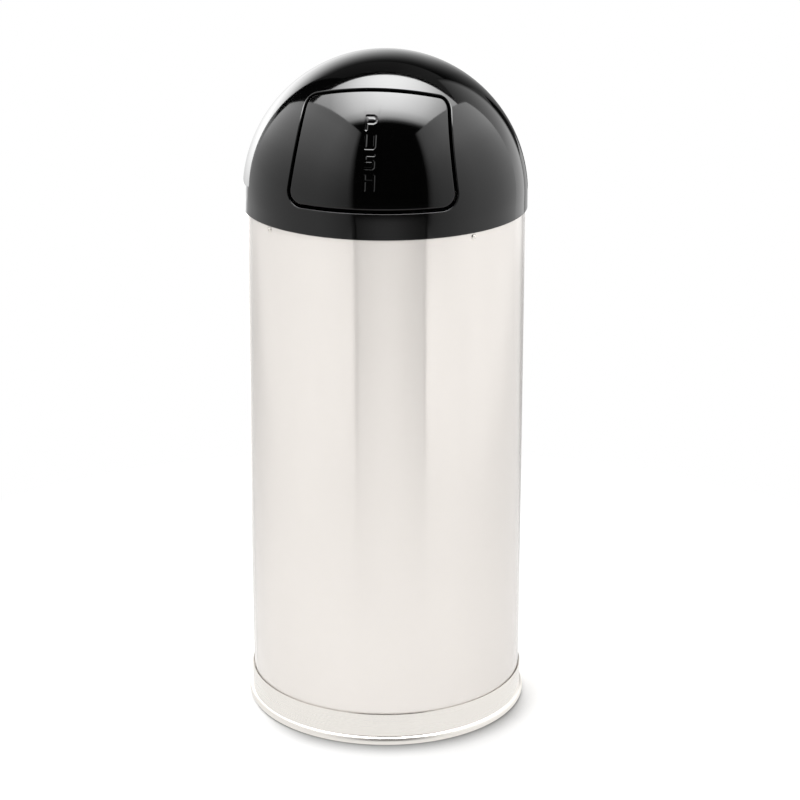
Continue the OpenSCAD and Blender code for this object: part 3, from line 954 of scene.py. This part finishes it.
class RECEPTACLE_OT_rivets(bpy.types.Operator):
    """Rivets: four blind rivets that hold the stiffening band inside the rim"""

    bl_idname = "receptacle.rivets"
    bl_label = "Rim rivets"

    def execute(self, context):
        body = context.scene.receptacle_body
        # Domed head with the stub of its mandrel in a dimple, shank and blind tail
        section = [(0.0, 0.00135), (0.0006, 0.00135), (0.0008, 0.00115), (0.0010, 0.00115),
                   (0.0012, 0.00155), (0.0018, 0.00152), (0.0026, 0.00118), (0.0032, 0.00068),
                   (0.0035, 0.00018), (0.0035, 0.0), (0.0020, 0.0), (0.0020, -0.0027),
                   (0.0032, -0.0027), (0.0032, -0.0037), (0.0026, -0.0041), (0.0, -0.0041)]
        first = turned("rim_rivets", section, 32)
        rivets = [first]
        while len(rivets) < RIVET_COUNT:
            rivet = first.copy()
            rivet.data = first.data.copy()
            bpy.context.collection.objects.link(rivet)
            rivets.append(rivet)
        for index, rivet in enumerate(rivets):
            azimuth = math.radians(45.0) + math.tau * index / RIVET_COUNT + BODY_TURN
            place = Matrix.Translation((0.0, 0.0, body.rivet_height))
            place @= Matrix.Rotation(azimuth, 4, "Z")
            place @= Matrix.Translation((body.radius + 0.00005, 0.0, 0.0))
            rivet.data.transform(place @ Matrix.Rotation(math.radians(90.0), 4, "Y"))
        select(*rivets)
        bpy.ops.object.join()
        smooth(first, 40.0)
        dress(first, "receptacle", "polished_stainless", "buffed_stainless", "rim_rivets")
        return {"FINISHED"}


class RECEPTACLE_OT_liner(bpy.types.Operator):
    """Liner: the galvanised can's wall with its wired edge"""

    bl_idname = "receptacle.liner"
    bl_label = "Liner"

    def execute(self, context):
        liner = context.scene.receptacle_liner
        in_r = liner.radius - liner.sheet
        wire_r, wire_z = in_r + liner.wired_edge, LINER_RIM - liner.wired_edge
        section = [(in_r, LINER_FOOT), (liner.radius, LINER_FOOT), (liner.radius, 0.2),
                   (liner.radius, 0.4), (liner.radius, 0.6)]
        start = math.degrees(math.acos((liner.radius - wire_r) / liner.wired_edge))
        section += arc((wire_r, wire_z), liner.wired_edge, -start, 180.0, 22)
        section += [(in_r, 0.6), (in_r, 0.4), (in_r, 0.2)]
        can = turned("liner_wall", section, 144)
        smooth(can, 40.0)
        dress(can, "liner", "galvanised_steel", "galvanised_sheet", "liner_can")
        return {"FINISHED"}


# Finishes of the pieces whose CAD shape is kept
FITTINGS = {
    "galvanised_sheet": ("floor_pan", "liner_bottom"),
    "black_baked_enamel": ("dome_collar", "hinge_bracket_left", "hinge_bracket_right",
                           "door_ear_left", "door_ear_right", "door_stop_left",
                           "door_stop_right"),
    "zinc_plated_steel": ("rim_band", "hinge_rod", "rod_clips", "bail_lug_left",
                          "bail_lug_right", "lug_rivets", "bail_handle"),
}


class RECEPTACLE_OT_fittings(bpy.types.Operator):
    """Fittings: finishes for the hidden parts whose CAD shape is kept"""

    bl_idname = "receptacle.fittings"
    bl_label = "Fittings"

    def execute(self, context):
        for material, nodes in FITTINGS.items():
            for node in nodes:
                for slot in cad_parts[node].material_slots:
                    slot.material = finish(material)
        return {"FINISHED"}


# ---- Stage ----


def flat_card(name, corners, glow):
    """A four-cornered card seen in reflections alone, as a studio's panel or lamp face is."""
    select()
    bpy.ops.mesh.primitive_plane_add(size=1.0)
    card = bpy.context.object
    card.name = name
    order = (0, 1, 3, 2)
    for index, corner in zip(order, corners):
        card.data.vertices[index].co = corner
    card.data.materials.append(glow)
    card.visible_camera = False
    card.visible_diffuse = False
    card.visible_shadow = False
    card.visible_volume_scatter = False


def glow_material(name, peak, gradients):
    """A glow of a peak strength, graded by (direction, stops) pairs with stops in metres."""
    material, tree = new_material(name)
    place = add(tree, "ShaderNodeTexCoord").outputs["Object"]
    share = None
    for direction, stops in gradients:
        reach = add(tree, "ShaderNodeVectorMath", {0: place, 1: direction},
                    operation="DOT_PRODUCT")
        factor = graded(tree, reach.outputs["Value"], stops)
        if share is None:
            share = factor
        else:
            share = add(tree, "ShaderNodeMath", {0: share, 1: factor},
                        operation="MULTIPLY").outputs["Value"]
    glow = add(tree, "ShaderNodeEmission", {"Color": share, "Strength": peak})
    add(tree, "ShaderNodeOutputMaterial", {"Surface": glow.outputs["Emission"]})
    return material


def wall_card(name, azimuth, distance, peak, up, along, lean=0.0):
    """An upright card that faces the receptacle from an azimuth, measured from -Y towards +X.

    Its glow is graded with height by up and sideways by along, whose bands and ends lean.
    """
    turn = math.radians(azimuth)
    out = Vector((math.sin(turn), -math.cos(turn), 0.0))
    side = Vector((math.cos(turn), math.sin(turn), 0.0))
    low, high = up[0][0], up[-1][0]
    left, right = along[0][0], along[-1][0]
    corners = []
    for reach, level in ((left, low), (right, low), (right, high), (left, high)):
        corners.append(out * distance + side * (reach - lean * level)
                       + Vector((0.0, 0.0, level)))
    flat_card(name, corners, glow_material(
        name, peak, [((0.0, 0.0, 1.0), up), (side + Vector((0.0, 0.0, lean)), along)]))


def floor_for_the_eye(tree, place, reach, paths):
    """The floor as the camera sees it: white all over but for shade round the bead, partly lamp
    shadow and partly painted shade.
    """
    # The lamps over-expose the floor to white; under the bead an occlusion test paints shade into
    # its colour
    painted_nook_shade = add(tree, "ShaderNodeAmbientOcclusion", {"Distance": 0.05}, samples=16)
    # The painted shade is deep in front and behind and thinner at the sides, as if the panels'
    # light thinned it
    away = add(tree, "ShaderNodeVectorMath", {0: place, 1: (0.35, -0.94, 0.0)},
               operation="DOT_PRODUCT")
    away = add(tree, "ShaderNodeMath", {0: away.outputs["Value"], 1: reach},
               operation="DIVIDE")
    painted_shade_share = graded(tree, away.outputs["Value"], [
        (-0.8, 0.9), (-0.4, 0.3), (0.0, 0.1), (0.3, 0.5), (0.7, 1.0)])
    painted_nook_shade = add(tree, "ShaderNodeMix", {0: painted_shade_share, 2: 1.0, 3: painted_nook_shade.outputs["AO"]},
               data_type="FLOAT")
    # The floor's colour here carries the painted shade
    tone = add(tree, "ShaderNodeMapRange", {
        "Value": painted_nook_shade.outputs[0], "From Min": 0.5, "From Max": 0.97, "To Min": 0.34,
        "To Max": 0.80}, interpolation_type="SMOOTHSTEP")
    paint = add(tree, "ShaderNodeBsdfDiffuse", {"Color": tone.outputs["Result"]})
    # Far from the receptacle the eye sees plain white
    far = graded(tree, reach, [(0.4, 0.0), (1.0, 1.0)])
    far = add(tree, "ShaderNodeMath", {0: far, 1: paths.outputs["Is Camera Ray"]},
              operation="MULTIPLY")
    white = add(tree, "ShaderNodeEmission", {"Strength": 1.0})
    return add(tree, "ShaderNodeMixShader", {
        0: far.outputs["Value"], 1: paint.outputs["BSDF"],
        2: white.outputs["Emission"]}).outputs["Shader"]


def floor_in_the_gloss(tree, place, reach):
    """The floor as the gloss shows it: a glow painted as a pool of light with painted shade,
    graded by direction and distance.
    """
    axes = add(tree, "ShaderNodeSeparateXYZ", {"Vector": place})
    # Towards the camera the painted pool is a tongue of light between the two panels, with painted
    # shade at its sides
    pool = graded(tree, reach, [
        (0.0, 1.0), (0.5, 1.0), (0.9, 0.92), (1.5, 0.82), (2.1, 0.71), (2.6, 0.66),
        (4.2, 0.58), (6.0, 0.3), (9.0, 0.12)])
    turn = math.radians(7.0)
    across = add(tree, "ShaderNodeVectorMath", {
        0: place, 1: (math.cos(turn), math.sin(turn), 0.0)}, operation="DOT_PRODUCT")
    across = add(tree, "ShaderNodeMath", {0: across.outputs["Value"]}, operation="ABSOLUTE")
    slant = add(tree, "ShaderNodeMath", {0: across.outputs["Value"], 1: reach},
                operation="DIVIDE")
    edge = graded(tree, slant.outputs["Value"], [
        (0.0, 0.0), (0.12, 0.07), (0.26, 0.33), (0.38, 0.55), (0.5, 0.75), (0.6, 0.8)])
    front = graded(tree, axes.outputs["Y"], [
        (-2.6, 1.0), (-2.0, 0.75), (-1.3, 0.35), (-0.9, 0.1), (-0.5, 0.0)])
    dim = add(tree, "ShaderNodeMath", {0: edge, 1: front}, operation="MULTIPLY")
    kept = add(tree, "ShaderNodeMath", {0: 1.0, 1: dim.outputs["Value"]},
               operation="SUBTRACT")
    ahead = add(tree, "ShaderNodeMath", {0: pool, 1: kept.outputs["Value"]},
                operation="MULTIPLY")
    # Behind, painted light brightens the floor towards the lit end of the rear wall
    sideways = add(tree, "ShaderNodeMath", {
        0: axes.outputs["X"], 1: axes.outputs["Y"]}, operation="DIVIDE")
    spill = graded(tree, sideways.outputs["Value"], [
        (-1.2, 0.38), (-0.8, 0.40), (-0.65, 0.55), (-0.5, 0.9), (-0.3, 0.75),
        (-0.15, 0.55), (0.1, 0.4), (0.22, 0.22), (0.5, 0.22), (0.62, 0.4)])
    # Left of the receptacle painted shade dims the floor near it
    beside = graded(tree, sideways.outputs["Value"], [(-1.0, 1.0), (-0.75, 0.0)])
    near = graded(tree, reach, [(2.35, 0.62), (2.9, 1.0)])
    dimmed = add(tree, "ShaderNodeMix", {0: beside, 2: 1.0, 3: near}, data_type="FLOAT")
    spill = add(tree, "ShaderNodeMath", {0: spill, 1: dimmed.outputs[0]},
                operation="MULTIPLY").outputs["Value"]
    # At the foot of the rear wall painted light from its lit end over-exposes the floor
    hot = graded(tree, sideways.outputs["Value"], [
        (-1.0, 0.0), (-0.85, 0.5), (-0.7, 0.8), (-0.57, 0.65), (-0.45, 0.35), (-0.2, 0.1)])
    deep = graded(tree, axes.outputs["Y"], [(2.1, 0.0), (2.45, 1.0)])
    spill = add(tree, "ShaderNodeMath", {0: hot, 1: deep, 2: spill},
                operation="MULTIPLY_ADD")
    peak = 2.3
    spill = add(tree, "ShaderNodeMath", {0: spill.outputs["Value"], 1: peak},
                operation="MULTIPLY")
    behind = graded(tree, axes.outputs["Y"], [(0.0, 0.0), (1.2, 1.0)])
    light = add(tree, "ShaderNodeMix", {
        0: behind, 2: ahead.outputs["Value"], 3: spill.outputs["Value"]},
        data_type="FLOAT")
    glow = add(tree, "ShaderNodeEmission", {"Strength": light.outputs[0]})
    return glow.outputs["Emission"]


def pale_floor():
    """Pale studio floor: lit by the lamps for the eye with painted shade round the bead, and for
    the gloss a painted pool of light.
    """
    material, tree = new_material("pale_floor")
    place = add(tree, "ShaderNodeTexCoord").outputs["Object"]
    reach = add(tree, "ShaderNodeVectorMath", {0: place}, operation="LENGTH").outputs["Value"]
    paths = add(tree, "ShaderNodeLightPath")
    mirrored = add(tree, "ShaderNodeMath", {
        0: paths.outputs["Is Glossy Ray"], 1: paths.outputs["Is Transmission Ray"]},
        operation="MAXIMUM")
    look = add(tree, "ShaderNodeMixShader", {
        0: mirrored.outputs["Value"], 1: floor_for_the_eye(tree, place, reach, paths),
        2: floor_in_the_gloss(tree, place, reach)})
    add(tree, "ShaderNodeOutputMaterial", {"Surface": look.outputs["Shader"]})
    # Without this the whole floor would be sampled as a lamp
    material.cycles.emission_sampling = "NONE"
    return material


def softbox_glow():
    """The overhead softbox: hottest over the receptacle and a quarter as bright at its ends."""
    material, tree = new_material("softbox_glow")
    place = add(tree, "ShaderNodeTexCoord").outputs["Object"]
    spot = add(tree, "ShaderNodeMapping", {
        "Vector": place, "Location": (-0.1, -0.1, 0.0), "Scale": (1.0, 0.8, 0.0)})
    reach = add(tree, "ShaderNodeVectorMath", {0: spot.outputs["Vector"]},
                operation="LENGTH")
    heat = graded(tree, reach.outputs["Value"], [
        (0.0, 1.0), (0.3, 0.97), (0.6, 0.85), (0.9, 0.71), (1.2, 0.52), (1.6, 0.33),
        (2.4, 0.22)])
    depth = add(tree, "ShaderNodeVectorMath", {0: place, 1: (-0.081, 1.0, 0.0)},
                operation="DOT_PRODUCT").outputs["Value"]
    front = graded(tree, depth, [
        (-0.93, 0.0), (-0.84, 0.06), (-0.76, 0.3), (-0.66, 0.6), (-0.4, 0.95), (-0.2, 1.0)])
    share = add(tree, "ShaderNodeMath", {0: heat, 1: front}, operation="MULTIPLY")
    glow = add(tree, "ShaderNodeEmission", {"Color": share.outputs["Value"],
                                            "Strength": 18.5})
    add(tree, "ShaderNodeOutputMaterial", {"Surface": glow.outputs["Emission"]})
    return material


def white_world():
    """White beyond the floor for the eye, and softer in the gloss and in the light it sheds."""
    world = bpy.data.worlds.new("white_world")
    world.use_nodes = True
    tree = world.node_tree
    tree.nodes.clear()
    paths = add(tree, "ShaderNodeLightPath")
    mirrored = add(tree, "ShaderNodeMath", {
        0: paths.outputs["Is Glossy Ray"], 1: paths.outputs["Is Transmission Ray"]},
        operation="MAXIMUM")
    shed = add(tree, "ShaderNodeMapRange", {
        "Value": mirrored.outputs["Value"], "To Min": 0.4, "To Max": 0.8})
    strength = add(tree, "ShaderNodeMath", {
        0: shed.outputs["Result"], 1: paths.outputs["Is Camera Ray"]}, operation="MAXIMUM")
    sky = add(tree, "ShaderNodeBackground", {
        "Color": (1.0, 1.0, 1.0, 1.0), "Strength": strength.outputs["Value"]})
    add(tree, "ShaderNodeOutputWorld", {"Surface": sky.outputs["Background"]})
    bpy.context.scene.world = world


def soft_lamp(name, place, target, size, power):
    """A soft rectangular lamp that lights paint but isn't seen in the metal."""
    data = bpy.data.lights.new(name, "AREA")
    data.shape = "RECTANGLE"
    data.size, data.size_y = size
    data.energy = power
    lamp = bpy.data.objects.new(name, data)
    bpy.context.collection.objects.link(lamp)
    lamp.location = place
    lamp.rotation_euler = (Vector(target) - Vector(place)).to_track_quat("-Z", "Y").to_euler()
    lamp.visible_camera = False
    lamp.visible_glossy = False


def studio_floor(width):
    """The pale floor that the receptacle stands on."""
    select()
    bpy.ops.mesh.primitive_plane_add(size=width)
    floor = bpy.context.object
    floor.name = "floor"
    floor.data.materials.append(pale_floor())


def dim_room():
    """A dim round room behind the panels, seen in reflections alone."""
    select()
    bpy.ops.mesh.primitive_cylinder_add(
        vertices=48, radius=8.5, depth=6.5, location=(0, 0, 2.75))
    room = bpy.context.object
    bpy.ops.object.transform_apply(location=True, rotation=True, scale=True)
    room.name = "dim_room"
    glow = glow_material("dim_room", 0.06, [
        ((0.0, 0.0, 1.0), [(0.0, 1.0), (0.9, 0.25), (2.0, 0.04), (6.0, 0.04)])])
    glow.cycles.emission_sampling = "NONE"
    room.data.materials.append(glow)
    room.visible_camera = False
    room.visible_diffuse = False
    room.visible_shadow = False


def panels():
    """The softbox, side panels and rear walls whose reflections the photograph shows."""
    # Overhead softbox, turned a little against the camera
    flat_card("overhead_softbox", [
        Vector((-2.36, -1.14, 3.0)), Vector((2.54, -0.74, 3.0)),
        Vector((2.20, 1.36, 3.0)), Vector((-2.50, 0.94, 3.0))], softbox_glow())
    wall_card("left_panel", -57.0, 1.1, 2.45, [
        (0.02, 0.39), (0.47, 0.36), (0.85, 0.37), (1.0, 0.42), (1.19, 0.52),
        (1.39, 0.68), (1.59, 0.80), (1.91, 0.92), (2.21, 1.0), (2.70, 0.92)], [
        (-4.1, 0.9), (-3.4, 0.95), (-1.0, 1.0), (0.34, 1.0), (0.55, 0.86),
        (0.71, 0.72), (0.88, 0.58), (0.97, 0.2), (1.03, 0.0)], 0.12)
    # Near the floor both panels are even right up to their inner edges
    wall_card("left_panel_foot", -57.0, 1.09, 0.9, [(0.02, 1.0), (0.4, 0.98)], [
        (0.2, 1.0), (0.90, 0.97), (0.93, 0.1)], 0.12)
    wall_card("right_panel_foot", 72.0, 1.19, 1.23, [(0.02, 1.0), (0.385, 0.98)], [
        (-0.86, 0.1), (-0.83, 0.93), (-0.5, 0.88), (-0.1, 0.88)], -0.1)
    wall_card("rear_left_panel", -138.0, 4.8, 0.9, [
        (0.02, 0.9), (1.2, 1.0), (1.6, 0.8), (1.95, 0.5)], [(-1.2, 1.0), (1.2, 1.0)])
    wall_card("right_panel", 72.0, 1.2, 2.8, [
        (0.02, 0.45), (0.51, 0.43), (0.75, 0.46), (0.96, 0.51), (1.17, 0.58),
        (1.41, 0.69), (1.72, 0.90), (1.97, 0.97), (2.64, 1.0)], [
        (-0.91, 0.0), (-0.83, 0.28), (-0.755, 0.465), (-0.575, 0.60), (-0.41, 0.67),
        (-0.24, 0.78), (0.08, 0.93), (0.96, 1.0), (2.0, 1.0)], -0.1)
    wall_card("rear_right_panel", 142.0, 2.5, 1.5, [
        (0.02, 0.95), (0.65, 1.0), (0.85, 0.96), (1.03, 0.92), (1.3, 0.8),
        (1.9, 0.66), (2.35, 0.54), (2.8, 0.4), (3.3, 0.25)], [
        (-0.70, 1.0), (0.40, 1.0), (0.56, 0.1)])
    wall_card("rear_wall", 180.0, 3.0, 5.4, [
        (0.02, 0.55), (0.33, 0.7), (0.68, 0.85), (1.02, 1.0), (1.67, 0.75),
        (2.05, 0.51), (2.18, 0.44), (2.46, 0.27), (2.75, 0.14), (3.05, 0.05),
        (3.4, 0.01)], [
        (-0.585, 0.03), (-0.145, 0.06), (0.175, 0.12), (0.385, 0.18), (0.80, 0.23),
        (1.19, 0.33), (1.73, 0.48), (2.12, 0.64), (2.49, 0.78), (3.1, 1.0)], 0.35)
    wall_card("rear_upper_wall", 180.0, 3.5, 0.2, [(1.5, 1.0), (6.5, 0.8)], [
        (-3.4, 1.0), (-1.3, 0.85), (0.0, 0.5), (2.6, 0.4)])


def lamps():
    """Three soft lamps: one overhead and one at each side in front."""
    soft_lamp("overhead_lamp", (-0.4, 0.5, 3.0), (0, 0, 0.2), (3.6, 2.0), 125.0)
    soft_lamp("left_lamp", (-1.2, -2.5, 1.7), (0, 0, 0.5), (1.8, 2.2), 37.0)
    soft_lamp("right_lamp", (1.5, -2.2, 1.7), (0, 0, 0.5), (1.8, 2.2), 37.0)


def studio_camera(studio):
    """The camera, at the place worked out from the outline and rings in the photograph."""
    data = bpy.data.cameras.new("camera")
    data.sensor_width = 36.0
    data.lens = studio.lens * 1000
    data.clip_end = 100.0
    camera = bpy.data.objects.new("camera", data)
    bpy.context.collection.objects.link(camera)
    camera.location = (0.3452, -3.1773, 1.510)
    camera.rotation_euler = (math.radians(90.0) - studio.tilt, 0.0, math.radians(5.85))
    bpy.context.scene.camera = camera


class RECEPTACLE_OT_stage(bpy.types.Operator):
    """Stage: pale floor, soft lamps, the panels that the gloss reflects, and the camera"""

    bl_idname = "receptacle.stage"
    bl_label = "Stage"

    def execute(self, context):
        studio = context.scene.receptacle_studio
        studio_floor(studio.floor)
        dim_room()
        panels()
        white_world()
        lamps()
        studio_camera(studio)
        context.scene.view_settings.view_transform = "Standard"
        return {"FINISHED"}


class RECEPTACLE_PT_panel(bpy.types.Panel):
    """Sidebar panel with the receptacle's sizes, finishes and pieces"""

    bl_idname = "RECEPTACLE_PT_panel"
    bl_label = "Dome top receptacle"
    bl_space_type = "VIEW_3D"
    bl_region_type = "UI"
    bl_category = "Receptacle"

    def draw(self, context):
        for group in GROUPS:
            box = self.layout.box()
            box.label(text=group.__doc__)
            settings = getattr(context.scene, GROUPS[group])
            for name in group.__annotations__:
                box.prop(settings, name)
        for operator in OPERATORS:
            self.layout.operator(operator.bl_idname)


GROUPS = {
    DomeSizes: "receptacle_dome",
    DoorSizes: "receptacle_door",
    BodySizes: "receptacle_body",
    LinerSizes: "receptacle_liner",
    Finishes: "receptacle_finishes",
    Studio: "receptacle_studio",
}
OPERATORS = (RECEPTACLE_OT_dome, RECEPTACLE_OT_door, RECEPTACLE_OT_word, RECEPTACLE_OT_bumpers,
             RECEPTACLE_OT_springs, RECEPTACLE_OT_body, RECEPTACLE_OT_foot,
             RECEPTACLE_OT_rivets, RECEPTACLE_OT_liner, RECEPTACLE_OT_fittings,
             RECEPTACLE_OT_stage)


def register():
    """Registers the settings, the operators and the panel."""
    for group, name in GROUPS.items():
        bpy.utils.register_class(group)
        setattr(bpy.types.Scene, name, PointerProperty(type=group))
    for operator in OPERATORS:
        bpy.utils.register_class(operator)
    bpy.utils.register_class(RECEPTACLE_PT_panel)


def unregister():
    """Takes everything out again in the opposite order."""
    bpy.utils.unregister_class(RECEPTACLE_PT_panel)
    for operator in reversed(OPERATORS):
        bpy.utils.unregister_class(operator)
    for group, name in reversed(GROUPS.items()):
        delattr(bpy.types.Scene, name)
        bpy.utils.unregister_class(group)


def main():
    """Builds every piece, then the stage."""
    register()
    bpy.ops.receptacle.dome()
    bpy.ops.receptacle.door()
    bpy.ops.receptacle.word()
    bpy.ops.receptacle.bumpers()
    bpy.ops.receptacle.springs()
    bpy.ops.receptacle.body()
    bpy.ops.receptacle.foot()
    bpy.ops.receptacle.rivets()
    bpy.ops.receptacle.liner()
    bpy.ops.receptacle.fittings()
    bpy.ops.receptacle.stage()


if __name__ == "__main__":
    main()
